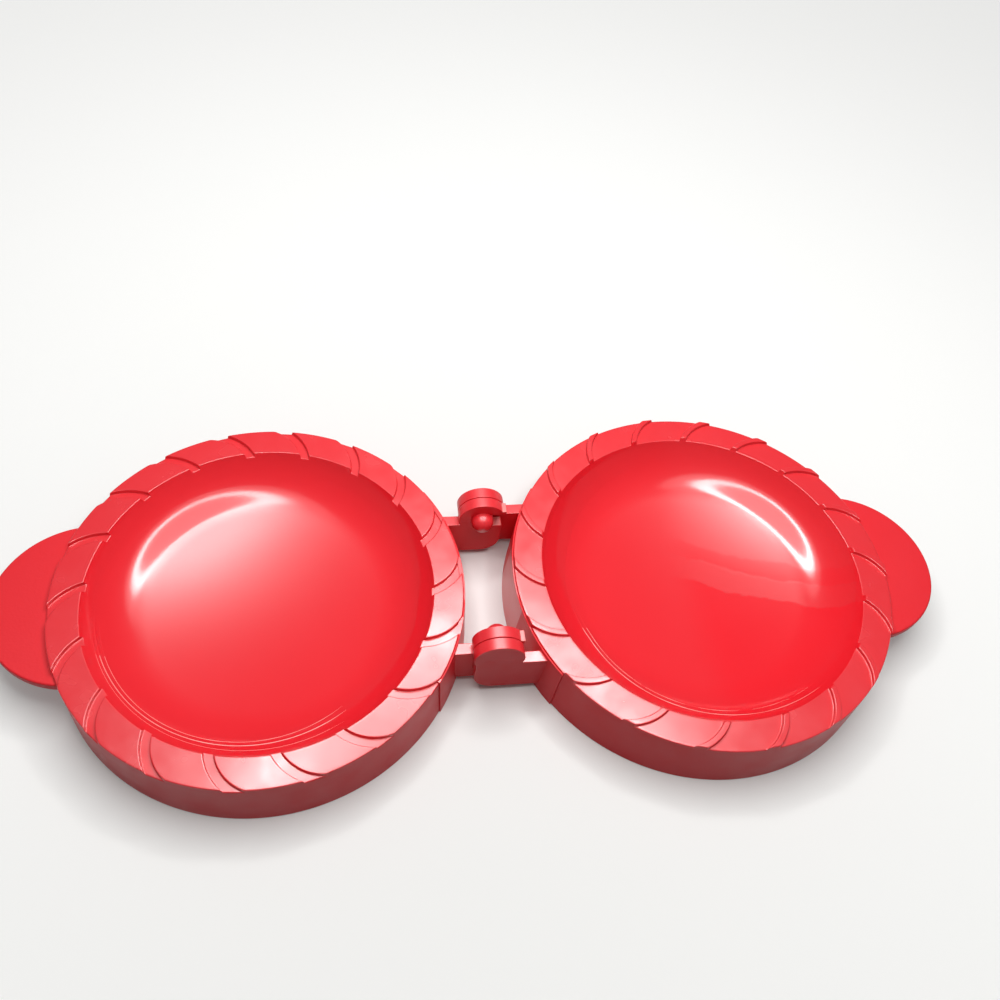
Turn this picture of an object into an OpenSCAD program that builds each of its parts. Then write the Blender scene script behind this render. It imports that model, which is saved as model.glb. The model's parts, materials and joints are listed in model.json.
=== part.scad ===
/*
Folding empanada press, lying open on the table.
Two round dishes are joined by a snap hinge whose axis runs along Y above X = 0.
The grooved dish is on the left and the ribbed dish on the right.
Folded shut, the ribs of one rim seat in the grooves of the other and crimp the dough.
*/

/* [Dish] */
// Outer diameter of the crimping rim
rim_d = 150; // [120:1:190]
// Width of the flat crimping rim
rim_w = 11.2; // [9:0.1:13]
// Height of the rim above the table
rim_h = 25; // [24:0.5:40]
// Free space between the two rims when the press lies open
rim_gap = 20; // [18:0.5:30]
// How far the foot of the skirt stands out past the rim
skirt_flare = 1.5; // [0.5:0.1:3]
// Thickness of the skirt
skirt_t = 2.2; // [1.5:0.1:3]
// Thickness of the rim plate
rim_t = 3.2; // [2.6:0.1:4.5]
// Thickness of the bowl
bowl_t = 2; // [1.5:0.1:2.4]
// Radius that breaks the outer edge of the rim
edge_r = 0.5; // [0.3:0.1:1]

/* [Bowl] */
// Slope of the bowl wall where it meets the rim, in degrees
lip_slope = 63; // [58:0.5:68]
// Radius of the curved side of the bowl, seen in section
side_r = 26; // [20:0.5:27]
// Slope at which the side runs into the shallow floor, in degrees
floor_slope = 14; // [10:0.5:18]

/* [Crimp] */
// Number of grooves in one rim and of ribs on the other
crimp_count = 18; // [10:1:22]
// Width of a groove
groove_w = 3.3; // [2.8:0.1:5]
// Depth of a groove
groove_depth = 1.6; // [1.2:0.1:2]
// Width of a rib
rib_w = 2.2; // [1.2:0.1:2.4]
// Height of a rib
rib_h = 1.5; // [1:0.1:2]
// Radius to which each groove and rib is bent, seen from above
crimp_bend_r = 19.3; // [18.5:0.1:30]
// Angle by which a groove leans away from the radius at the middle of the rim, in degrees
crimp_lean = 40.4; // [34:0.2:43]
// Angle by which the pattern is turned back from the line through the hinge, in degrees
crimp_turn = 0.8; // [0:0.1:10]

/* [Tab] */
// Radius of the thumb tab
tab_r = 33; // [26:0.5:36]
// Distance of the tab's own centre inside the edge of the rim
tab_inset = 11.2; // [6:0.2:14]
// Thickness of the tab
tab_t = 4; // [3:0.5:5]
// Drop from the rim to the top of the tab
tab_drop = 3; // [1.5:0.5:6]
// Radius that breaks the edges of the tab
tab_edge_r = 0.8; // [0.4:0.1:1.2]

/* [Hinge] */
// Height of the hinge axis above the rim
axis_rise = 0.6; // [0.4:0.05:1]
// Distance from the middle of the press to the inner face of a hinge
hinge_y = 26; // [15:0.5:30]
// Thickness of one knuckle and of its arm
knuckle_t = 4.35; // [3:0.05:6]
// Running gap between two knuckle faces
face_gap = 0.3; // [0.3:0.05:0.5]
// Radius of a knuckle
knuckle_r = 9.3; // [8:0.1:10]
// How far a knuckle reaches past the axis below it
tongue_reach = 8.3; // [6:0.1:9]
// Radius of the tongue's lower corner
tongue_r = 8; // [4:0.5:10]
// Height of the underside of the arms above the table
arm_foot = 3.5; // [2:0.5:8]
// Drop from the rim to the top of the arms
arm_drop = 2.5; // [1:0.5:5]
// Radius of the snap peg
peg_r = 4.4; // [3:0.1:5]
// Radial clearance of the peg in its socket
peg_fit = 0.06; // [0.03:0.01:0.1]
// Height of the socket's upper lip above the axis
lip_rise = 3.1; // [2:0.1:3.6]
// Radius that rounds the tip of the upper lip
lip_tip_r = 1.2; // [0.5:0.1:2]

/* [Hinge pad] */
// Thickness of the raised pad on the skirt behind the arms
pad_t = 0.5; // [0.3:0.1:1]
// Drop from the rim to the top of the pad
pad_drop = 0.8; // [0.5:0.1:2]
// Angle that the pad spans round the dish, in degrees
pad_span = 67; // [50:1:90]

/* [Hidden] */
$fn = 96;
part_color = "crimson";
// Overlap that makes touching shapes one solid, and that lets a cut pass through a face
eps = 0.02;
cut_past = 5;

rim_r = rim_d / 2;
bowl_r = rim_r - rim_w;
foot_r = rim_r + skirt_flare;
dish_x = rim_r + rim_gap / 2;
axis_z = rim_h + axis_rise;
plate_z = rim_h - rim_t;

// The bowl's section is a side arc that runs smoothly into a wide floor arc
side_x = bowl_r - side_r * sin(lip_slope);
side_z = rim_h + side_r * cos(lip_slope);
meet_x = side_x + side_r * sin(floor_slope);
meet_z = side_z - side_r * cos(floor_slope);
floor_r = meet_x / sin(floor_slope);
floor_z = meet_z + floor_r * cos(floor_slope);

// The crimp pattern, measured at the middle of the rim
crimp_step = 360 / crimp_count;
crimp_mid_r = rim_r - rim_w / 2;
crimp_x = crimp_mid_r - crimp_bend_r * sin(crimp_lean);
crimp_y = crimp_bend_r * cos(crimp_lean);
crimp_reach = crimp_mid_r + rim_w;

socket_r = peg_r + peg_fit;
outer_y = hinge_y + knuckle_t + face_gap;
arm_top = rim_h - arm_drop;
skirt_lean = atan(skirt_flare / rim_h);
tab_top = rim_h - tab_drop;
tab_x = rim_r - tab_inset;

// Radius of the skirt's outer face at a height above the table
function skirt_r(z) = foot_r - skirt_flare * z / rim_h;

// The part of a section on the floor side of the line where side arc and floor arc meet
module floor_side() {
    polygon([
        [0, floor_z],
        [0, -cut_past],
        [meet_x + (meet_z + cut_past) * tan(floor_slope), -cut_past]
    ]);
}

// Everything above the bowl's surface when inset is 0, and above its underside when inset is its thickness
module bowl_section(inset) {
    intersection() {
        translate([0, floor_z]) circle(r = floor_r + inset, $fn = 360);
        floor_side();
    }
    difference() {
        intersection() {
            translate([side_x, side_z]) circle(r = side_r + inset);
            translate([0, -cut_past]) square([rim_r, rim_h + 2 * cut_past]);
        }
        floor_side();
    }
}

// Outline of the dish without its hollows, with the rim's outer edge broken
module dish_outline() {
    polygon([[0, 0], [foot_r, 0], [skirt_r(rim_h - edge_r), rim_h - edge_r], [rim_r - edge_r, rim_h], [0, rim_h]]);
    translate([rim_r - edge_r, rim_h - edge_r]) circle(r = edge_r);
}

// Open hollow under the bowl, inside the skirt
module under_section() {
    difference() {
        polygon([[0, -eps], [foot_r - skirt_t, -eps], [skirt_r(plate_z) - skirt_t, plate_z], [0, plate_z]]);
        bowl_section(bowl_t);
    }
}

module dish() {
    rotate_extrude($fn = 180) difference() {
        dish_outline();
        bowl_section(0);
        under_section();
    }
}

// One swirled band of the crimp pattern, seen from above, from the bowl to past the rim
module crimp_band(w) {
    intersection() {
        translate([crimp_x, crimp_y]) difference() {
            circle(r = crimp_bend_r + w / 2);
            circle(r = crimp_bend_r - w / 2);
        }
        polygon([
            [bowl_r / 2, -rim_w],
            [crimp_reach, -rim_w],
            [crimp_reach, crimp_reach * crimp_y / crimp_x],
            [bowl_r / 2, bowl_r / 2 * crimp_y / crimp_x]
        ]);
    }
}

module crimp_ring() {
    for (i = [0 : crimp_count - 1]) rotate(i * crimp_step - crimp_turn) children();
}

module grooves() {
    translate([0, 0, rim_h - groove_depth]) crimp_ring() {
        linear_extrude(groove_depth + cut_past) crimp_band(groove_w);
    }
}

// The ribs' ends follow the slope of the bowl and the lean of the skirt
module rib_zone() {
    rotate_extrude($fn = 180) polygon([
        [bowl_r, rim_h - eps],
        [rim_r, rim_h - eps],
        [rim_r - rib_h * tan(skirt_lean), rim_h + rib_h],
        [bowl_r + rib_h / tan(lip_slope), rim_h + rib_h]
    ]);
}

module ribs() {
    intersection() {
        translate([0, 0, rim_h - eps]) crimp_ring() {
            linear_extrude(rib_h + cut_past) crimp_band(rib_w);
        }
        rib_zone();
    }
}

// Thumb tab with broken edges, cut so that it ends inside the skirt
module tab() {
    difference() {
        translate([tab_x, 0, tab_top - tab_t]) rotate_extrude() {
            square([tab_r - tab_edge_r, tab_t]);
            translate([0, tab_edge_r]) square([tab_r, tab_t - 2 * tab_edge_r]);
            for (z = [tab_edge_r, tab_t - tab_edge_r]) {
                translate([tab_r - tab_edge_r, z]) circle(r = tab_edge_r, $fn = 32);
            }
        }
        translate([0, 0, -cut_past]) cylinder(r = foot_r - skirt_t, h = rim_h + 2 * cut_past, $fn = 180);
    }
}

// Raised pad on the skirt, towards the hinge at the dish's -X side
module hinge_pad() {
    pad_top = rim_h - pad_drop;
    rotate(180 - pad_span / 2) rotate_extrude(angle = pad_span, $fn = 180) polygon([
        [foot_r - skirt_t / 2, 0],
        [foot_r + pad_t, 0],
        [skirt_r(pad_top) + pad_t, pad_top],
        [skirt_r(pad_top) - skirt_t / 2, pad_top]
    ]);
}

// Side outline of an arm that comes from +X and ends in a knuckle on the axis
module arm_outline() {
    translate([0, axis_z]) circle(r = knuckle_r);
    translate([tongue_r - tongue_reach, arm_foot]) square([tongue_reach, axis_z - arm_foot]);
    translate([-tongue_reach, arm_foot + tongue_r]) square([tongue_reach, axis_z - arm_foot - tongue_r]);
    translate([tongue_r - tongue_reach, arm_foot + tongue_r]) circle(r = tongue_r);
    translate([0, arm_foot]) square([dish_x, arm_top - arm_foot]);
}

// Snap socket, open away from the dish: its floor runs out level, its upper lip hooks over the peg
module socket_outline() {
    translate([0, axis_z]) circle(r = socket_r);
    translate([-knuckle_r - cut_past, axis_z - socket_r]) {
        square([knuckle_r + cut_past, socket_r + lip_rise]);
    }
    lip_corner();
}

// Rounds the tip of the upper lip, between the slot and the knuckle's own edge
module lip_corner() {
    lip_x = sqrt(pow(knuckle_r - lip_tip_r, 2) - pow(lip_rise + lip_tip_r, 2));
    difference() {
        translate([-knuckle_r - cut_past, axis_z]) {
            square([knuckle_r + cut_past - lip_x, lip_rise + lip_tip_r]);
        }
        translate([-lip_x, axis_z + lip_rise + lip_tip_r]) circle(r = lip_tip_r);
    }
}

// One arm standing on the plane y0, cut so that it ends inside the skirt
module arm(y0) {
    difference() {
        translate([0, y0 + knuckle_t, 0]) rotate([90, 0, 0]) linear_extrude(knuckle_t) children();
        translate([dish_x, 0, -cut_past]) {
            cylinder(r = foot_r - skirt_t, h = rim_h + 4 * cut_past, $fn = 180);
        }
    }
}

// Peg with a domed end, from inside the outer knuckle through the socket to past its face
module peg() {
    translate([0, hinge_y, axis_z]) {
        rotate([-90, 0, 0]) cylinder(r = peg_r, h = outer_y - hinge_y + knuckle_t / 2);
        sphere(r = peg_r);
    }
}

module both_sides() {
    children();
    mirror([0, 1, 0]) children();
}

// The right-hand dish with its tab and pad, which both halves share
module shared_dish() {
    translate([dish_x, 0, 0]) {
        dish();
        tab();
        hinge_pad();
    }
}

// Left half: grooved rim, inner arms with snap sockets
module grooved_half() {
    color(part_color) mirror([1, 0, 0]) {
        difference() {
            shared_dish();
            translate([dish_x, 0, 0]) mirror([1, 0, 0]) grooves();
        }
        both_sides() arm(hinge_y) difference() {
            arm_outline();
            socket_outline();
        }
    }
}

// Right half: ribbed rim, outer arms with domed pegs
module ribbed_half() {
    color(part_color) {
        shared_dish();
        translate([dish_x, 0, 0]) mirror([1, 0, 0]) ribs();
        both_sides() {
            arm(outer_y) arm_outline();
            peg();
        }
    }
}

grooved_half();
ribbed_half();
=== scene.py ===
"""Looks of a folding empanada press that lies open on a pale table.

The press is two injection-moulded polypropylene halves. Each half is built here as one closed mesh,
in place of its plain solid: a dish with a swirled crimping rim, a thumb tab, a raised pad and two
hinge arms. Lengths are millimetres unless a comment says otherwise, and MM turns them to metres.
"""

import json
import math

import bmesh
import bpy
from mathutils import Matrix, Vector


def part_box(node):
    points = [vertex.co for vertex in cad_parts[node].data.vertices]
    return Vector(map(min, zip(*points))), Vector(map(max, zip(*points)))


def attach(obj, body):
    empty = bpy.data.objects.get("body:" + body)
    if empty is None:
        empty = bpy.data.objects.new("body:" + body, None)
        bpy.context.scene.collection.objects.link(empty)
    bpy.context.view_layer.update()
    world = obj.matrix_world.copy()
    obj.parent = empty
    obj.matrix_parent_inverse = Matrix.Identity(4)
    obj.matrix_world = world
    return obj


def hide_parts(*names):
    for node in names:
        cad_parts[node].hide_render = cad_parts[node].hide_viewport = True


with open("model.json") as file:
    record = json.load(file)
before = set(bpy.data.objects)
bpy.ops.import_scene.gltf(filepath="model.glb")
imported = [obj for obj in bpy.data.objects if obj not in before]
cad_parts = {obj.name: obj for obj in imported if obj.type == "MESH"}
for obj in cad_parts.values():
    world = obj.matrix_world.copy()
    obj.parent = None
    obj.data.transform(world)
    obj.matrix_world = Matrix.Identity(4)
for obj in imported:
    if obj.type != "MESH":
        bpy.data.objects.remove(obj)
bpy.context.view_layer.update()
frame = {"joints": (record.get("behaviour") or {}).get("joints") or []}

MM = 0.001

# Sizes taken from the frame
half_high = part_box("ribbed_half")[1]
hinge = next(j for j in frame["joints"] if j["name"] == "fold")
AXIS_Z = hinge["pos_m"][2] / MM
KNUCKLE_R = half_high.z / MM - AXIS_Z
FOOT_R = half_high.y / MM

# Dish
SKIRT_FLARE = 1.5
RIM_R = FOOT_R - SKIRT_FLARE
RIM_W = 11.2
RIM_H = 25
SKIRT_T = 2.2
RIM_T = 3.2
BOWL_T = 2
RIM_EDGE = 0.45
LIP_EDGE = 0.35
LIP_ROOM = 0.025  # slope in radians that the lip's round edge takes up
FOOT_EDGE = 0.4
INNER_CORNER = 1
PLATE_ROOM = 0.03  # slope in radians left free where the rim plate meets the bowl's underside
SHARP_ANGLE = math.radians(32)  # faces that meet at more than this aren't smoothed into one

# Bowl section: a side arc that runs smoothly into a wide floor arc
LIP_SLOPE = math.radians(63)
FLOOR_SLOPE = math.radians(14)
SIDE_R = 26

# Hairline steps along the front of the bowl's side, where the inserts of the core met. Each is
# (height above the table at the front, how much higher it runs to the right, width).
GROOVED_STEPS = ((14.9, -3, 0.16), (16.3, -3, 0.3), (18.7, -1.5, 0.13))
RIBBED_STEPS = ((16.2, 3.5, 0.15), (18.4, 5, 0.24))
STEP_ROUND = 0.15
STEP_EDGE = 0.06
# The band of heights that they stay in, and the room that each leaves for those below and above it
STEP_LOW, STEP_HIGH = 12.6, 21.9
STEP_MARGIN = 0.4
ROOM_BELOW, ROOM_ABOVE = 0.9, 0.8
# Slope in radians that a step's rounded edges take up
STEP_SLOPE = 0.012
# How far to the front a step has its full depth, and where on the right it ends and over what
# distance it fades, in shares of the distance from the bowl's middle
STEP_START = 0.35
STEP_END = 0.65
STEP_FADE = 0.3

# Rows of points in the dish's section: over the floor, up to each step, round each of its corners,
# and across the rim
FLOOR_ROWS = 15
RISE_ROWS = 8
CORNER_ROWS = 4
STEP_ROWS = RISE_ROWS + 2 * CORNER_ROWS
RIM_ROWS = 13
# Heights of the rows outside and inside the skirt, and shares of the way across under the rim
OUTER_ROWS = (19, 14, 9, 4)
INNER_ROWS = (4, 9, 14, 18.5)
PLATE_ROWS = (0.3, 0.6, 0.92)
# How closely the first rows on the skirt still follow the swirl of the crimps
SWIRL_FADE = (0.75, 0.4, 0.1)
# Columns of points on the flat between two crimps
FLAT_COLUMNS = 9

# Crimp pattern
CRIMPS = 18
GROOVE_W = 3.3
GROOVE_DEPTH = 1.6
RIB_W = 2.2
RIB_H = 1.5
CRIMP_BEND_R = 19.3
CRIMP_LEAN = math.radians(40.4)
CRIMP_TURN = math.radians(0.8)
CRIMP_TOP_EDGE = 0.3
CRIMP_FOOT_EDGE = 0.22
WALL_DRAFT = 0.06

# Thumb tab
TAB_R = 33
TAB_X = RIM_R - 11.2
TAB_TOP = RIM_H - 3
TAB_T = 4
TAB_EDGE = 0.8
TAB_ROOT = 1  # how far it reaches into the skirt's wall

# Hinge
DISH_X = half_high.x / MM - TAB_X - TAB_R
ARM_T = 4.35
INNER_Y = 26
ARM_GAP = 0.3
OUTER_Y = INNER_Y + ARM_T + ARM_GAP
ARM_TOP = RIM_H - 2.5
ARM_FOOT = 3.5
TONGUE_REACH = 8.3
TONGUE_R = 8
PEG_R = 4.4
PEG_PROUD = 0.8
PEG_CLEARANCE = 0.06
SOCKET_R = PEG_R + PEG_CLEARANCE
# The socket's upper lip, from the axis: its under side, its top and its end
LIP_RISE = 3.1
LIP_TOP = 4.9
LIP_REACH = 9.5
ARM_EDGE = 0.2
ARM_CORNER = 0.35
SEAM_H = 0.07
SEAM_W = 0.16
# Where the parting line starts and ends on each knuckle, from the axis
GROOVED_SEAM = (4.2, 8.2)
RIBBED_SEAM = (-6, 5.5)

# Raised pad on the skirt behind the arms
PAD_T = 0.5
PAD_TOP = RIM_H - 0.8
PAD_HALF_SPAN = math.radians(33.5)
PAD_EDGE = 0.15
PAD_ROOT = 1.1
PAD_FOOT = 0.02  # it stops just short of the table

# Derived from the sizes above
BOWL_R = RIM_R - RIM_W
PLATE_Z = RIM_H - RIM_T
SHARED_Z = RIM_H - 3  # below this height every section of a dish is the same
SIDE_X = BOWL_R - SIDE_R * math.sin(LIP_SLOPE)
SIDE_Z = RIM_H + SIDE_R * math.cos(LIP_SLOPE)
MEET_X = SIDE_X + SIDE_R * math.sin(FLOOR_SLOPE)
FLOOR_R = MEET_X / math.sin(FLOOR_SLOPE)
FLOOR_Z = SIDE_Z + (FLOOR_R - SIDE_R) * math.cos(FLOOR_SLOPE)
CRIMP_STEP = 2 * math.pi / CRIMPS
CRIMP_MID_R = RIM_R - RIM_W / 2
CRIMP_X = CRIMP_MID_R - CRIMP_BEND_R * math.sin(CRIMP_LEAN)
CRIMP_Y = CRIMP_BEND_R * math.cos(CRIMP_LEAN)
CRIMP_AXIS_R = math.hypot(CRIMP_X, CRIMP_Y)
CRIMP_AXIS_ANGLE = math.atan2(CRIMP_Y, CRIMP_X)


# Outlines and sections

def spread(low, high, count):
    """count values from low to high, both ends included."""
    return [low + (high - low) * i / (count - 1) for i in range(count)]


def eased(share):
    """A share from 0 to 1 that starts and ends gently."""
    return share * share * (3 - 2 * share)


def arc(x, y, r, start, end, count):
    """Points on a circle from one angle to another, in degrees."""
    turns = [math.radians(a) for a in spread(start, end, count)]
    return [Vector((x + r * math.cos(a), y + r * math.sin(a))) for a in turns]


def rounded(before, corner, after, r, count=5):
    """The corner between two straight runs, as an arc of radius r."""
    before, corner, after = Vector(before), Vector(corner), Vector(after)
    into = (before - corner).normalized()
    away = (after - corner).normalized()
    half = into.angle(away) / 2
    centre = corner + (into + away).normalized() * r / math.sin(half)
    first = corner + into * r / math.tan(half) - centre
    last = corner + away * r / math.tan(half) - centre
    turn = first.angle_signed(last)
    return [centre + Matrix.Rotation(-turn * i / (count - 1), 2) @ first for i in range(count)]


def skirt_r(z):
    """Radius of the skirt's outer face at a height above the table."""
    return FOOT_R - SKIRT_FLARE * z / RIM_H


def bowl_point(slope, inset=0):
    """The bowl's surface in section at this slope, or its underside when inset is its thickness."""
    if slope <= FLOOR_SLOPE:
        r = FLOOR_R + inset
        return Vector((r * math.sin(slope), FLOOR_Z - r * math.cos(slope)))
    r = SIDE_R + inset
    return Vector((SIDE_X + r * math.sin(slope), SIDE_Z - r * math.cos(slope)))


def side_slope(z, inset=0):
    """Slope of the bowl's side at a height above the table."""
    return math.acos((SIDE_Z - z) / (SIDE_R + inset))


def bowl_side(steps):
    """The bowl's side from its floor up to SHARED_Z.

    Below a step (height, width) the wall comes gently inwards by the width, and at the step it
    goes back. A step of no width leaves the side smooth, with as many points.
    """
    points, low_slope = [], FLOOR_SLOPE
    for z, width in steps:
        high_slope = side_slope(z)
        end_slope = high_slope - width * math.cos(high_slope) / SIDE_R
        for share in spread(0, 1, RISE_ROWS + 2)[1:-1]:
            slope = low_slope + share * (end_slope - low_slope)
            inward = Vector((-math.sin(slope), math.cos(slope)))
            points.append(bowl_point(slope) + inward * width * math.sin(high_slope) * share ** 2)
        low_slope = high_slope + STEP_SLOPE
        if width:
            outer = bowl_point(high_slope)
            inner = outer - Vector((width, 0))
            points += rounded(points[-1], inner, outer, STEP_ROUND, CORNER_ROWS)
            points += rounded(inner, outer, bowl_point(low_slope), STEP_EDGE, CORNER_ROWS)
        else:
            first, last = high_slope - STEP_SLOPE * 2 / 3, high_slope + STEP_SLOPE / 2
            points += [bowl_point(s) for s in spread(first, last, 2 * CORNER_ROWS)]
    return points + [bowl_point(s) for s in spread(low_slope, side_slope(SHARED_Z), 4)]


def step_depth(front, right):
    """How deep the steps are, from 0 to 1, where it lies this far to the front and the right."""
    return eased(max(0, min(1, front / STEP_START, (STEP_END - right) / STEP_FADE)))


def dish_section(rise, side):
    """The dish in section from the middle of the bowl over the rim to the middle of its underside.

    rise is how far this section's rim stands above the flat rim, and side is the bowl's side.
    The second list says how closely each point follows the swirl of the crimps, from 0 to 1.
    """
    top = RIM_H + rise
    lip_slope = side_slope(top)
    lip = bowl_point(lip_slope)
    edge = Vector((skirt_r(top), top))
    foot_out = Vector((FOOT_R, 0))
    foot_in = Vector((FOOT_R - SKIRT_T, 0))
    inner_top = Vector((skirt_r(PLATE_Z) - SKIRT_T, PLATE_Z))
    plate_in = bowl_point(side_slope(PLATE_Z, BOWL_T), BOWL_T)

    floor = [bowl_point(s) for s in spread(0, FLOOR_SLOPE, FLOOR_ROWS + 1)[1:]]
    mouth = [bowl_point(s) for s in spread(side_slope(SHARED_Z), lip_slope - LIP_ROOM, 5)[1:]]
    lip_arc = rounded(bowl_point(lip_slope - 0.8 * LIP_ROOM), lip, lip + Vector((1, 0)), LIP_EDGE)
    edge_arc = rounded(edge - Vector((1, 0)), edge, foot_out, RIM_EDGE)
    flat = [lip_arc[-1].lerp(edge_arc[0], t) for t in spread(0, 1, RIM_ROWS + 2)[1:-1]]
    skirt = [Vector((skirt_r(z), z)) for z in (SHARED_Z, *OUTER_ROWS)]
    foot = rounded(edge, foot_out, foot_in, FOOT_EDGE)
    foot += rounded(foot_out, foot_in, inner_top, FOOT_EDGE)
    inside = [Vector((skirt_r(z) - SKIRT_T, z)) for z in INNER_ROWS]
    inner_arc = rounded(foot_in, inner_top, plate_in, INNER_CORNER)
    plate = [inner_arc[-1].lerp(plate_in, t) for t in PLATE_ROWS]
    below_slopes = spread(side_slope(PLATE_Z, BOWL_T) - PLATE_ROOM, FLOOR_SLOPE, 16)
    below = [bowl_point(s, BOWL_T) for s in below_slopes + spread(FLOOR_SLOPE, 0, 12)[1:-1]]

    blend = [0] * len(floor) + [eased(t) for t in spread(0, 1, len(side))]
    swirled = len(mouth) + len(lip_arc) + len(flat) + len(edge_arc) + 1
    blend += [1] * swirled + [*SWIRL_FADE]
    points = floor + side + mouth + lip_arc + flat + edge_arc + skirt + foot
    points += inside + inner_arc + plate + below
    blend += [0] * (len(points) - len(blend))
    return points, blend


def crimp_angle(r, offset):
    """Angle round the dish of the crimp's offset curve at radius r."""
    bend = CRIMP_BEND_R + offset
    cosine = (r * r + CRIMP_AXIS_R ** 2 - bend * bend) / (2 * r * CRIMP_AXIS_R)
    return CRIMP_AXIS_ANGLE - math.acos(max(-1, min(1, cosine))) - CRIMP_TURN


def crimp_profile(width, rise):
    """Points (offset, rise) across one groove or rib, from its outer side to its inner side."""
    half = width / 2
    if rise < 0:
        top_edge, foot_edge = CRIMP_TOP_EDGE, CRIMP_FOOT_EDGE
    else:
        top_edge, foot_edge = CRIMP_FOOT_EDGE, CRIMP_TOP_EDGE
    outside = (half + 1, 0)
    shoulder = (half + WALL_DRAFT, 0)
    base = (half - WALL_DRAFT, rise)
    middle = (0, rise)
    side = rounded(outside, shoulder, base, top_edge) + rounded(shoulder, base, middle, foot_edge)
    back = [Vector((-p.x, p.y)) for p in reversed(side)]
    return [Vector((half + 0.5, 0))] + side + back + [Vector((-half - 0.5, 0))]


# Meshes

def mesh_object(name, points, faces):
    """An object from points in millimetres and faces, with its normals outwards."""
    mesh = bpy.data.meshes.new(name)
    mesh.from_pydata([Vector(p) * MM for p in points], [], faces)
    made = bpy.data.objects.new(name, mesh)
    bpy.context.scene.collection.objects.link(made)
    built = bmesh.new()
    built.from_mesh(mesh)
    bmesh.ops.recalc_face_normals(built, faces=built.faces)
    built.to_mesh(mesh)
    built.free()
    return made


def closed_grid(rings):
    """Faces between neighbouring rings of point numbers, where every ring has as many points."""
    faces = []
    for a, b in zip(rings, rings[1:]):
        faces += [(a[i - 1], a[i], b[i], b[i - 1]) for i in range(len(a))]
    return faces


def capped(name, rows):
    """A closed object from rows of points that each run round it, with a flat face at each end."""
    points, rings = [], []
    for row in rows:
        rings.append(range(len(points), len(points) + len(row)))
        points += row
    faces = closed_grid(rings) + [tuple(rings[0]), tuple(rings[-1])]
    return mesh_object(name, points, faces)


def dish(side, width, rise, steps):
    """One dish with its crimps. side is -1 on the left and 1 on the right."""
    profile = crimp_profile(width, rise)
    smooth_side = bowl_side([(z, 0) for z, _, _ in steps])
    sections = {p.y: dish_section(p.y, smooth_side) for p in profile}
    flat_blend = sections[0][1]
    # Each column is (crimp, offset across it, share of the way to the next one, rise)
    columns = []
    for i in range(CRIMPS):
        columns += [(i, p.x, 0, p.y) for p in profile]
        columns += [(i, profile[-1].x, t, 0) for t in spread(0, 1, FLAT_COLUMNS + 2)[1:-1]]
    sector = len(columns) / CRIMPS
    start = crimp_angle(BOWL_R, profile[0].x)
    lip_r = smooth_side[-1].x

    def turned(number, r, closely):
        """Angle of a column round the dish at radius r, following the swirl this closely."""
        i, offset, share, _ = columns[number]
        angle = crimp_angle(r, offset)
        if share:
            angle += share * (crimp_angle(r, profile[0].x) + CRIMP_STEP - angle)
        even = start + number / sector * CRIMP_STEP - i * CRIMP_STEP
        return i * CRIMP_STEP + even + closely * (angle - even)

    sides = []
    for number in range(len(columns)):
        placed = []
        for k, (z, lean, step_w) in enumerate(steps):
            row = FLOOR_ROWS + STEP_ROWS * k + RISE_ROWS + CORNER_ROWS
            height = z - lean * side * math.cos(turned(number, lip_r, flat_blend[row]))
            lowest = STEP_LOW + STEP_MARGIN + ROOM_BELOW * k
            highest = STEP_HIGH - STEP_MARGIN - ROOM_ABOVE * (len(steps) - 1 - k)
            placed.append((max(lowest, min(highest, height)), step_w))
        sides.append((bowl_side([(z, 0) for z, _ in placed]), bowl_side(placed)))

    points, rings = [], []
    for row in range(len(flat_blend)):
        rings.append(range(len(points), len(points) + len(columns)))
        for number, (_, _, _, height) in enumerate(columns):
            section, blend = sections[height]
            r, z = section[row]
            angle = turned(number, max(lip_r, min(skirt_r(RIM_H + height), r)), blend[row])
            if FLOOR_ROWS <= row < FLOOR_ROWS + len(smooth_side):
                smooth, stepped = (points_of[row - FLOOR_ROWS] for points_of in sides[number])
                r, z = smooth.lerp(stepped, step_depth(-math.sin(angle), -side * math.cos(angle)))
            points.append((side * (DISH_X - r * math.cos(angle)), r * math.sin(angle), z))
    faces = closed_grid(rings)
    for ring, z in ((rings[0], bowl_point(0).y), (rings[-1], bowl_point(0, BOWL_T).y)):
        centre = len(points)
        points.append((side * DISH_X, 0, z))
        faces += [(ring[i - 1], ring[i], centre) for i in range(len(ring))]
    return mesh_object("dish", points, faces)


def slab(name, outline, low, high, edge, place, buried=()):
    """A plate with broken edges. place puts an outline point and a height into space.

    The outline's points in buried lie inside another wall and keep their place at every level.
    """
    inward = []
    for i, here in enumerate(outline):
        before, after = outline[i - 1], outline[(i + 1) % len(outline)]
        n1 = Vector((before.y - here.y, here.x - before.x)).normalized()
        n2 = Vector((here.y - after.y, after.x - here.x)).normalized()
        across = (n1 + n2).normalized()
        reach = 1 / max(0.5, across.dot(n1))
        inward.append(Vector((0, 0)) if i in buried else across * reach)
    turns = [math.radians(a) for a in spread(0, 90, 5)]
    levels = [(edge * (1 - math.sin(a)), low + edge * (1 - math.cos(a))) for a in turns]
    levels += [(inset, low + high - height) for inset, height in reversed(levels)]
    return capped(name, [[place(p + n * inset, height) for p, n in zip(outline, inward)]
                         for inset, height in levels])


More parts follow.
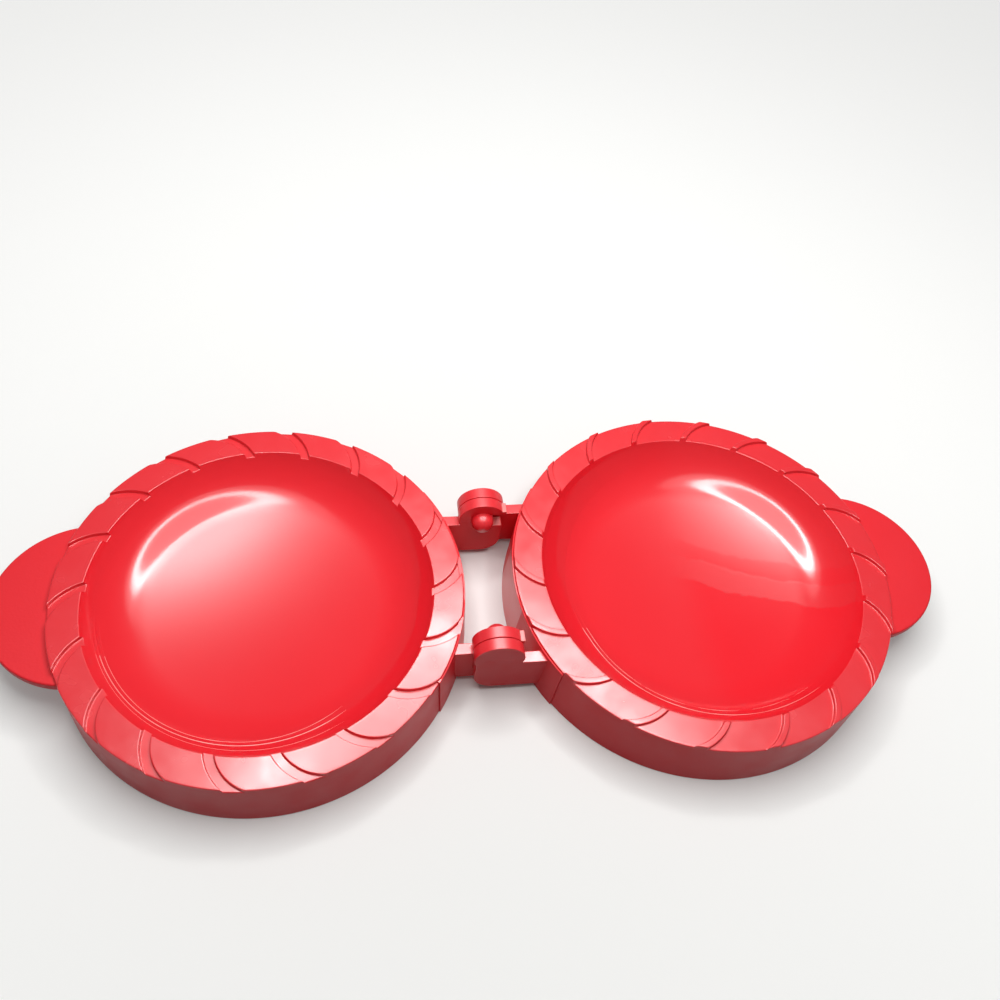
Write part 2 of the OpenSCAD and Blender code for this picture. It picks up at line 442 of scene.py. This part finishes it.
def tab(side):
    """Thumb tab, from inside the skirt's wall to its round end."""
    root_r = skirt_r(TAB_TOP) - TAB_ROOT
    cosine = (TAB_X ** 2 + root_r ** 2 - TAB_R ** 2) / (2 * TAB_X * root_r)
    root_angle = math.degrees(math.acos(cosine))
    corner = Vector((root_r * cosine, root_r * math.sin(math.radians(root_angle))))
    end_angle = math.degrees(math.atan2(corner.y, corner.x - TAB_X))
    front = arc(TAB_X, 0, TAB_R, -end_angle, end_angle, 97)
    root = arc(0, 0, root_r, root_angle, -root_angle, 33)[1:-1]
    buried = range(len(front), len(front) + len(root))
    return slab("tab", front + root, TAB_TOP - TAB_T, TAB_TOP, TAB_EDGE,
                lambda p, z: (side * (DISH_X + p.x), p.y, z), buried)


def pad(side):
    """Raised pad on the skirt, towards the hinge."""
    top = Vector((skirt_r(PAD_TOP) + PAD_T, PAD_TOP))
    foot = Vector((FOOT_R + PAD_T, PAD_FOOT))
    section = [Vector((FOOT_R - PAD_ROOT, PAD_FOOT))]
    section += rounded((FOOT_R, 0), foot, (FOOT_R + PAD_T, 5), PAD_EDGE)
    section += rounded((FOOT_R + PAD_T, 0), top, top - Vector((1, 0)), PAD_EDGE)
    section += [Vector((skirt_r(PAD_TOP) - PAD_ROOT, PAD_TOP))]
    return capped("pad", [
        [(side * (DISH_X - p.x * math.cos(turn)), p.x * math.sin(turn), p.y) for p in section]
        for turn in spread(-PAD_HALF_SPAN, PAD_HALF_SPAN, 61)])


def arm_end():
    """The arm's outline below the knuckle: the tongue's round corner and the foot of the arm."""
    left = -TONGUE_REACH
    corner = arc(left + TONGUE_R, ARM_FOOT + TONGUE_R, TONGUE_R, 180, 270, 17)
    return corner + [Vector((DISH_X, ARM_FOOT)), Vector((DISH_X, ARM_TOP))]


def plain_outline():
    """Side of an outer arm: a round knuckle over a tongue."""
    right = math.degrees(math.asin((ARM_TOP - AXIS_Z) / KNUCKLE_R))
    left = 180 + math.degrees(math.acos(TONGUE_REACH / KNUCKLE_R))
    return arc(0, AXIS_Z, KNUCKLE_R, right, left, 65) + arm_end()


def socket_outline():
    """Side of an inner arm: a knuckle with a snap socket that opens away from the dish."""
    right = math.degrees(math.asin((ARM_TOP - AXIS_Z) / KNUCKLE_R))
    shoulder = Vector((-math.sqrt(KNUCKLE_R ** 2 - LIP_TOP ** 2), AXIS_Z + LIP_TOP))
    tip_top = Vector((-LIP_REACH, AXIS_Z + LIP_TOP))
    tip_low = Vector((-LIP_REACH, AXIS_Z + LIP_RISE))
    mouth = Vector((-math.sqrt(SOCKET_R ** 2 - LIP_RISE ** 2), AXIS_Z + LIP_RISE))
    socket_angle = 180 - math.degrees(math.asin(LIP_RISE / SOCKET_R))
    lip_angle = 180 - math.degrees(math.asin(LIP_TOP / KNUCKLE_R))
    floor_z = AXIS_Z - SOCKET_R
    floor_out = (-TONGUE_REACH, floor_z)
    knuckle = arc(0, AXIS_Z, KNUCKLE_R, right, lip_angle, 49)
    tip = rounded(shoulder, tip_top, tip_low, ARM_CORNER, 4)
    tip += rounded(tip_top, tip_low, mouth, ARM_CORNER, 4)
    socket = arc(0, AXIS_Z, SOCKET_R, socket_angle, -90, 61)
    floor_end = rounded((0, floor_z), floor_out, (-TONGUE_REACH, ARM_FOOT), ARM_CORNER, 4)
    return knuckle + tip + socket + floor_end + arm_end()


def arm(side, outline, y, direction):
    """One arm, standing on the plane y. Its far end is cut inside the skirt's wall."""
    buried = (len(outline) - 2, len(outline) - 1)

    def place(p, away):
        x = p.x
        if x > DISH_X / 2:
            wall = skirt_r(p.y) - SKIRT_T / 2
            x = DISH_X - math.sqrt(wall ** 2 - away ** 2)
        return (side * x, direction * away, p.y)

    return slab("arm", outline, y, y + ARM_T, ARM_EDGE, place, buried)


def peg(side, direction):
    """Snap peg. Its domed end stands a little proud of the socket."""
    rows = [(PEG_R * math.sin(a), INNER_Y - PEG_PROUD - PEG_R * math.cos(a))
            for a in spread(0.06, math.pi / 2, 22)]
    rows += [(PEG_R, OUTER_Y + ARM_T / 2)]
    around = 96
    turns = [2 * math.pi * k / around for k in range(around)]
    return capped("peg", [
        [(side * r * math.cos(t), direction * y, AXIS_Z + r * math.sin(t)) for t in turns]
        for r, y in rows])


def seam(side, span, y, direction):
    """Parting line of the mould: a hair-thin ridge across a knuckle's face on the plane y."""
    low_x, high_x = span
    outline = [Vector(p) for p in ((low_x, 0), (high_x, 0), (high_x, SEAM_W), (low_x, SEAM_W))]
    outward = 1 if y > INNER_Y else -1
    root = -1  # it starts inside the arm
    return slab("seam", outline, root, SEAM_H, SEAM_H / 2,
                lambda p, away: (side * p.x, direction * (y + outward * away), RIM_H + p.y))


def united(name, base, others):
    """One closed mesh out of the dish and what is moulded on to it."""
    for other in others:
        union = base.modifiers.new("union", "BOOLEAN")
        union.operation = "UNION"
        union.solver = "MANIFOLD"
        union.object = other
    bpy.context.view_layer.update()
    graph = bpy.context.evaluated_depsgraph_get()
    mesh = bpy.data.meshes.new_from_object(base.evaluated_get(graph), depsgraph=graph)
    for temporary in [base, *others]:
        bpy.data.objects.remove(temporary)
    made = bpy.data.objects.new(name, mesh)
    mesh.name = name
    bpy.context.scene.collection.objects.link(made)
    return made


# Materials

def linear(text):
    """An sRGB hex colour as a linear colour with alpha."""
    channels = [int(text[i:i + 2], 16) / 255 for i in (0, 2, 4)]
    return [c / 12.92 if c <= 0.04045 else ((c + 0.055) / 1.055) ** 2.4 for c in channels] + [1]


def add(tree, kind, inputs=None, **settings):
    """Adds a node. Each input is a plain value or another node's output."""
    made = tree.nodes.new(kind)
    for key, value in settings.items():
        setattr(made, key, value)
    for key, value in (inputs or {}).items():
        if isinstance(value, bpy.types.NodeSocket):
            tree.links.new(value, made.inputs[key])
        else:
            made.inputs[key].default_value = value
    return made


def new_tree(name):
    """An empty material with its node tree."""
    material = bpy.data.materials.new(name)
    material.use_nodes = True
    material.node_tree.nodes.clear()
    return material, material.node_tree


def maths(tree, operation, *values, **settings):
    """The result of a sum on plain values or other nodes' outputs."""
    made = add(tree, "ShaderNodeMath", dict(enumerate(values)), operation=operation, **settings)
    return made.outputs["Value"]


def mapped(tree, value, low, high, to_low, to_high, **settings):
    """Brings the value from the range low to high into another range, and holds it there."""
    return add(tree, "ShaderNodeMapRange", {
        "Value": value, "From Min": low, "From Max": high, "To Min": to_low, "To Max": to_high},
        **settings).outputs["Result"]


def cloud(tree, place, size_mm, detail, roughness=0.5):
    """Soft noise in patches of that real size."""
    return add(tree, "ShaderNodeTexNoise", {
        "Vector": place, "Scale": 1000 / size_mm, "Detail": detail, "Roughness": roughness,
        }).outputs["Fac"]


def distance_from_middle(tree, place):
    """Distance of a point from the middle of its own dish, in millimetres."""
    parts = add(tree, "ShaderNodeSeparateXYZ", {"Vector": place})
    from_x = maths(tree, "SUBTRACT", maths(tree, "ABSOLUTE", parts.outputs["X"]), DISH_X * MM)
    flat = add(tree, "ShaderNodeCombineXYZ", {"X": from_x, "Y": parts.outputs["Y"]})
    away = add(tree, "ShaderNodeVectorMath", {0: flat.outputs["Vector"]}, operation="LENGTH")
    return maths(tree, "DIVIDE", away.outputs["Value"], MM)


# Pigmented polypropylene: IOR 1.49, dyed through, with a little light passing under its skin
RED = "E21A26"
RED_PALE = "E6202C"
# Paler reds painted as a highlight on the socket's mouth and the hairline steps
HIGHLIGHT_RED = "E66A68"
HIGHLIGHT_RED_PALE = "EC8A86"
POLYPROPYLENE_IOR = 1.49
SKIN_SHARE = 0.12
SKIN_DEPTH = 1.2
SKIN_REACH = (1, 0.12, 0.08)  # how far red, green and blue light get, as shares of that depth
NOISE_LOW, NOISE_HIGH = 0.3, 0.7  # nearly all values of a noise lie between these
TINT_PATCH = 28
# The bowl's floor is rougher than its side. One runs into the other between these radii.
FLOOR_FADE = (MEET_X - 5, MEET_X + 2)
# Cold flow in one side of the ribbed half's bowl: how much of the sheen is left at each distance
# across it. Its edges lean and wave, and it starts to show at FLOW_START from the bowl's middle.
FLOW = ((-20, 0.4), (4.8, 0.38), (5.3, 1.0), (15.2, 0.85), (15.6, 1.1), (16.6, 0.6), (23.6, 0.74),
        (24.2, 1.0), (40, 1.0))
FLOW_TOP = max(left for _, left in FLOW)
FLOW_LEAN = 0.4
FLOW_WAVE = 10
FLOW_RIPPLE = 12
FLOW_START = -9
CALM_SHEEN = 0.8


def flow_sheen(tree, place):
    """How much of the polished sheen is left beside the wavy edges of the cold flow."""
    parts = add(tree, "ShaderNodeSeparateXYZ", {"Vector": place})
    from_x = maths(tree, "SUBTRACT", parts.outputs["X"], DISH_X * MM)
    across = maths(tree, "MULTIPLY_ADD", from_x, FLOW_LEAN, parts.outputs["Y"])
    ripples = cloud(tree, place, FLOW_RIPPLE, 4, 0.68)
    wavy = maths(tree, "MULTIPLY_ADD", ripples, FLOW_WAVE * MM, across)
    low, high = FLOW[0][0], FLOW[-1][0]
    middle = FLOW_WAVE / 2
    ramp = add(tree, "ShaderNodeValToRGB", {
        "Fac": mapped(tree, wavy, (low + middle) * MM, (high + middle) * MM, 0, 1)})
    stops = ramp.color_ramp.elements
    stops.remove(stops[1])
    for number, (distance, left) in enumerate(FLOW):
        stop = stops.new((distance - low) / (high - low)) if number else stops[0]
        stop.color = (left / FLOW_TOP,) * 3 + (1,)
    flow = maths(tree, "MULTIPLY", ramp.outputs["Color"], FLOW_TOP)
    shown = mapped(tree, from_x, FLOW_START * MM, -FLOW_START * MM, 0, 1,
                   interpolation_type="SMOOTHSTEP")
    return add(tree, "ShaderNodeMix", {
        "Factor": shown, "A": CALM_SHEEN, "B": flow}).outputs["Result"]


def moulded_polypropylene(name, roughness, blotch_mm, grain, gloss=0.5, haze=0.0,
                         haze_roughness=0.4, floor_roughness=None, reds=(RED, RED_PALE)):
    """Red moulded polypropylene.

    roughness is (low, high) over blotches of that size. grain is the tool's own skin: its width and
    depth in millimetres, and how strongly it shows. gloss is the specular level. haze is a second,
    wider sheen over the first one, with haze_roughness. floor_roughness is for the bowls only, and
    brings the marks of the cold flow with it. The tint runs between the two reds.
    """
    material, tree = new_tree(name)
    place = add(tree, "ShaderNodeTexCoord").outputs["Object"]
    rough = mapped(tree, cloud(tree, place, blotch_mm, 2), NOISE_LOW, NOISE_HIGH, *roughness)
    if floor_roughness:
        sheen = flow_sheen(tree, place)
        gloss = maths(tree, "MULTIPLY", sheen, gloss)
        haze = maths(tree, "MULTIPLY", sheen, haze)
        rough = mapped(tree, distance_from_middle(tree, place), *FLOOR_FADE, floor_roughness, rough,
                       interpolation_type="SMOOTHSTEP")
    colour = add(tree, "ShaderNodeMix", {
        "Factor": cloud(tree, place, TINT_PATCH, 3), "A": linear(reds[0]), "B": linear(reds[1])},
        data_type="RGBA")
    width, depth, strength = grain
    bump = add(tree, "ShaderNodeBump", {
        "Height": cloud(tree, place, width, 0), "Strength": strength, "Distance": depth * MM})
    shader = add(tree, "ShaderNodeBsdfPrincipled", {
        "Base Color": colour.outputs["Result"],
        "Roughness": rough, "IOR": POLYPROPYLENE_IOR, "Specular IOR Level": gloss,
        "Coat Weight": haze, "Coat Roughness": haze_roughness, "Coat IOR": POLYPROPYLENE_IOR,
        "Subsurface Weight": SKIN_SHARE, "Subsurface Radius": SKIN_REACH,
        "Subsurface Scale": SKIN_DEPTH * MM, "Normal": bump.outputs["Normal"]})
    add(tree, "ShaderNodeOutputMaterial", {"Surface": shader.outputs["BSDF"]})
    return material


# The bowls come off a polished core: mirror-like, with a faint long wave in the surface
polished = moulded_polypropylene(
    "polished_polypropylene", roughness=(0.1, 0.15), blotch_mm=30, grain=(16, 0.02, 0.25),
    gloss=1.0, haze=0.22, haze_roughness=0.42, floor_roughness=0.23)
# Rims and arms come off stoned steel: a clear sheen in cloudy patches
satin = moulded_polypropylene(
    "satin_polypropylene", roughness=(0.17, 0.29), blotch_mm=10, grain=(8, 0.12, 0.4),
    gloss=1.0, haze=0.75, haze_roughness=0.45)
# The knuckles were cut in the tool with a mill: an even soft sheen
milled = moulded_polypropylene(
    "milled_polypropylene", roughness=(0.33, 0.39), blotch_mm=12, grain=(0.9, 0.006, 0.3),
    gloss=1.0, haze=0.6, haze_roughness=0.45)
# Painted highlight: the socket's mouth and the hairline steps get paler reds that stand in for the
# sheen they catch from the lamp
painted_highlight = moulded_polypropylene(
    "painted_highlight_polypropylene", roughness=(0.3, 0.4), blotch_mm=6, grain=(0.9, 0.006, 0.3),
    gloss=0.8, reds=(HIGHLIGHT_RED, HIGHLIGHT_RED_PALE))
# Upright walls are drawn out of the tool past its plain steel, which leaves them duller
drawn = moulded_polypropylene(
    "drawn_polypropylene", roughness=(0.36, 0.46), blotch_mm=12, grain=(0.9, 0.006, 0.3),
    gloss=0.3)
# The tabs are spark-eroded for grip: a fine matte grain, drawn at 0.7 mm so that it shows
eroded = moulded_polypropylene(
    "spark_eroded_polypropylene", roughness=(0.5, 0.6), blotch_mm=20, grain=(0.7, 0.05, 0.6))
FINISHES = (drawn, satin, polished, eroded, milled, painted_highlight)
NEAR = 0.1  # faces this close to a plane count as lying on it
HIGHLIGHT_END = STEP_END - 0.1  # beyond this a step is too shallow to carry the painted highlight


def finish_on_dish(front, right, from_middle, z, up):
    """The finish of a face that lies this far to the front and right of its dish's middle.

    up is 1 where the face looks up and -1 where it looks down.
    """
    in_bowl = from_middle < BOWL_R + 2 * NEAR
    on_rim = z > RIM_H - GROOVE_DEPTH - NEAR and (up > 0.75 or not in_bowl)
    on_step = STEP_LOW < z < STEP_HIGH and up > 0.95 and from_middle < BOWL_R
    # The stepped faces at the front get the painted highlight
    if on_step and front > STEP_START * from_middle and right < HIGHLIGHT_END * from_middle:
        return painted_highlight
    if in_bowl and up > 0 and not on_rim:
        return polished
    if on_rim and (up > 0.3 or from_middle < RIM_R - 2 * NEAR):
        return satin
    return drawn


def finish_beside_dish(x, y, z, normal):
    """The finish of a face of a tab, a pad or a hinge arm."""
    if abs(x) > DISH_X and TAB_TOP - TAB_T - NEAR < z < TAB_TOP + NEAR:
        return eroded
    # The socket's floor and the lip's end get the painted highlight
    on_socket_floor = normal.z > 0.98 and z < AXIS_Z - PEG_R + 2 * NEAR
    at_lip = LIP_REACH - 2 < x < DISH_X / 2 and abs(y) < OUTER_Y - NEAR
    if on_socket_floor or at_lip and z > AXIS_Z + LIP_RISE - NEAR:
        return painted_highlight
    if KNUCKLE_R * 0.8 < abs(x) < DISH_X / 2 and normal.z > 0.9 and z < ARM_TOP + NEAR:
        return satin
    on_ball = abs(x) < PEG_R and abs(y) < INNER_Y - NEAR / 2
    if on_ball or abs(x) < KNUCKLE_R + 1 and abs(normal.y) < 0.9:
        return milled
    return drawn


def finish_faces(made):
    """Gives each face the finish of its place, and smooths the round faces."""
    made.data.materials.clear()
    for material in FINISHES:
        made.data.materials.append(material)
    for face in made.data.polygons:
        x, y, z = face.center / MM
        from_middle = math.hypot(abs(x) - DISH_X, y)
        if from_middle < skirt_r(z) + NEAR / 2:
            right = x - math.copysign(DISH_X, x)
            finish = finish_on_dish(-y, right, from_middle, z, face.normal.z)
        else:
            finish = finish_beside_dish(x, y, z, face.normal)
        face.material_index = FINISHES.index(finish)
    made.data.shade_smooth()
    made.data.set_sharp_from_angle(angle=SHARP_ANGLE)
    weighted = made.modifiers.new("even_normals", "WEIGHTED_NORMAL")
    weighted.keep_sharp = True
    weighted.weight = 50


# The two halves

def both(maker):
    """A part on the back of the press and its twin on the front."""
    return [maker(1), maker(-1)]


grooved = united("grooved_moulding", dish(-1, GROOVE_W, -GROOVE_DEPTH, GROOVED_STEPS), [
    tab(-1),
    pad(-1),
    *both(lambda d: arm(-1, socket_outline(), INNER_Y, d)),
    *both(lambda d: seam(-1, GROOVED_SEAM, INNER_Y, d)),
])
ribbed = united("ribbed_moulding", dish(1, RIB_W, RIB_H, RIBBED_STEPS), [
    tab(1),
    pad(1),
    *both(lambda d: arm(1, plain_outline(), OUTER_Y, d)),
    *both(lambda d: peg(1, d)),
    *both(lambda d: seam(1, RIBBED_SEAM, OUTER_Y + ARM_T, d)),
])
for made, node in ((grooved, "grooved_half"), (ribbed, "ribbed_half")):
    finish_faces(made)
    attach(made, node)
    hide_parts(node)


# Table, light and camera

BACKDROP = "F0F0EF"
TABLE = "E0E0DE"
TABLE_BOUNCE = "6E6E6C"
# In metres: from the table's middle to its edge, and how high the lamp hangs
TABLE_REACH = 4
LAMP_HEIGHT = 0.405
FAR_GLOW = 0.72  # strength of the table's glow far away from the lamp


def table():
    """A plain table top that shows pale to the camera and to reflections, and keeps its shadow.

    The lamp hangs low, so its light falls off across the table. A faint glow that only the camera
    and reflections see makes up for that away from the press, up to the tone of the backdrop.
    """
    mesh = bpy.data.meshes.new("table")
    square = ((-1, -1, 0), (1, -1, 0), (1, 1, 0), (-1, 1, 0))
    mesh.from_pydata([Vector(p) * TABLE_REACH for p in square], [], [(0, 1, 2, 3)])
    made = bpy.data.objects.new("table", mesh)
    bpy.context.scene.collection.objects.link(made)
    material, tree = new_tree("pale_table")
    place = add(tree, "ShaderNodeTexCoord").outputs["Object"]
    rays = add(tree, "ShaderNodeLightPath").outputs
    seen = maths(tree, "ADD", rays["Is Camera Ray"], rays["Is Glossy Ray"])
    seen = maths(tree, "ADD", seen, rays["Is Transmission Ray"], use_clamp=True)
    tone = add(tree, "ShaderNodeMix", {
        "Factor": seen, "A": linear(TABLE_BOUNCE), "B": linear(TABLE)}, data_type="RGBA")
    away = add(tree, "ShaderNodeVectorMath", {0: place, 1: (1 / LAMP_HEIGHT,) * 3},
               operation="MULTIPLY").outputs["Vector"]
    squared = add(tree, "ShaderNodeVectorMath", {0: away, 1: away}, operation="DOT_PRODUCT")
    falloff = maths(tree, "POWER", maths(tree, "ADD", squared.outputs["Value"], 1), -2)
    glow = maths(tree, "MULTIPLY", mapped(tree, falloff, 0, 1, FAR_GLOW, 0), seen)
    shader = add(tree, "ShaderNodeBsdfPrincipled", {
        "Base Color": tone.outputs["Result"], "Roughness": 0.8, "Specular IOR Level": 0.2,
        "Emission Color": linear(BACKDROP), "Emission Strength": glow})
    add(tree, "ShaderNodeOutputMaterial", {"Surface": shader.outputs["BSDF"]})
    mesh.materials.append(material)


def lamp(name, shape, place, size, depth, radiance, turn=0):
    """A lamp that faces straight down, in metres. Radiance 1 looks as bright as white paper."""
    light = bpy.data.lights.new(name, "AREA")
    light.shape = shape
    light.size = size
    light.size_y = depth
    area = size * depth * (math.pi / 4 if shape == "ELLIPSE" else 1)
    light.energy = radiance * math.pi * area
    made = bpy.data.objects.new(name, light)
    made.location = place
    made.rotation_euler.z = turn
    made.visible_camera = False
    bpy.context.scene.collection.objects.link(made)


def studio():
    """A round ring lamp close over the press, with a weak glow inside and around it, in metres."""
    centre = Vector((0.016, 0.029, LAMP_HEIGHT))
    ring_r, ring_w = 0.141, 0.038
    ring_radiance, more_at_back = 15, 5
    tubes = 20
    tube_length = 2 * ring_r * math.tan(math.pi / tubes)
    for i in range(tubes):
        turn = 2 * math.pi * i / tubes
        place = centre + ring_r * Vector((math.cos(turn), math.sin(turn), 0))
        radiance = ring_radiance + more_at_back * math.sin(turn)
        lamp("ring_lamp", "RECTANGLE", place, ring_w, tube_length, radiance, turn)
    for name, across, radiance in (("inner_glow", 0.25, 2.4), ("outer_glow", 0.43, 1.0)):
        lamp(name, "ELLIPSE", centre, across, across, radiance)

    world = bpy.data.worlds.new("studio")
    world.use_nodes = True
    tree = world.node_tree
    tree.nodes.clear()
    to_camera = add(tree, "ShaderNodeLightPath").outputs["Is Camera Ray"]
    backdrop = add(tree, "ShaderNodeBackground", {
        "Color": linear(BACKDROP), "Strength": mapped(tree, to_camera, 0, 1, 0.2, 1)})
    add(tree, "ShaderNodeOutputWorld", {"Surface": backdrop.outputs["Background"]})
    bpy.context.scene.world = world


def camera():
    """The photograph's view: found from the rims' circles, in millimetres and radians."""
    place = Vector((-47.224, -175.327, 325.989))
    azimuth, elevation, roll = -0.2330, 0.9420, 0.1530
    focal_px, frame_px = 917.03, 1000
    centre_u, centre_v = 487.13, 496.57
    level = math.cos(elevation)
    back = Vector((math.sin(azimuth) * level, -math.cos(azimuth) * level, math.sin(elevation)))
    right = Vector((0, 0, 1)).cross(back).normalized()
    turn = Matrix.Rotation(roll, 3, back)
    axes = Matrix([turn @ right, turn @ back.cross(right), back]).transposed()
    sensor = 36
    lens = bpy.data.cameras.new("camera")
    lens.sensor_width = sensor
    lens.lens = sensor * focal_px / frame_px
    lens.shift_x = (frame_px / 2 - centre_u) / frame_px
    lens.shift_y = (centre_v - frame_px / 2) / frame_px
    lens.clip_start = 0.01
    made = bpy.data.objects.new("camera", lens)
    made.matrix_world = Matrix.Translation(place * MM) @ axes.to_4x4()
    bpy.context.scene.collection.objects.link(made)
    bpy.context.scene.camera = made


table()
studio()
camera()
bpy.context.scene.view_settings.view_transform = "Standard"
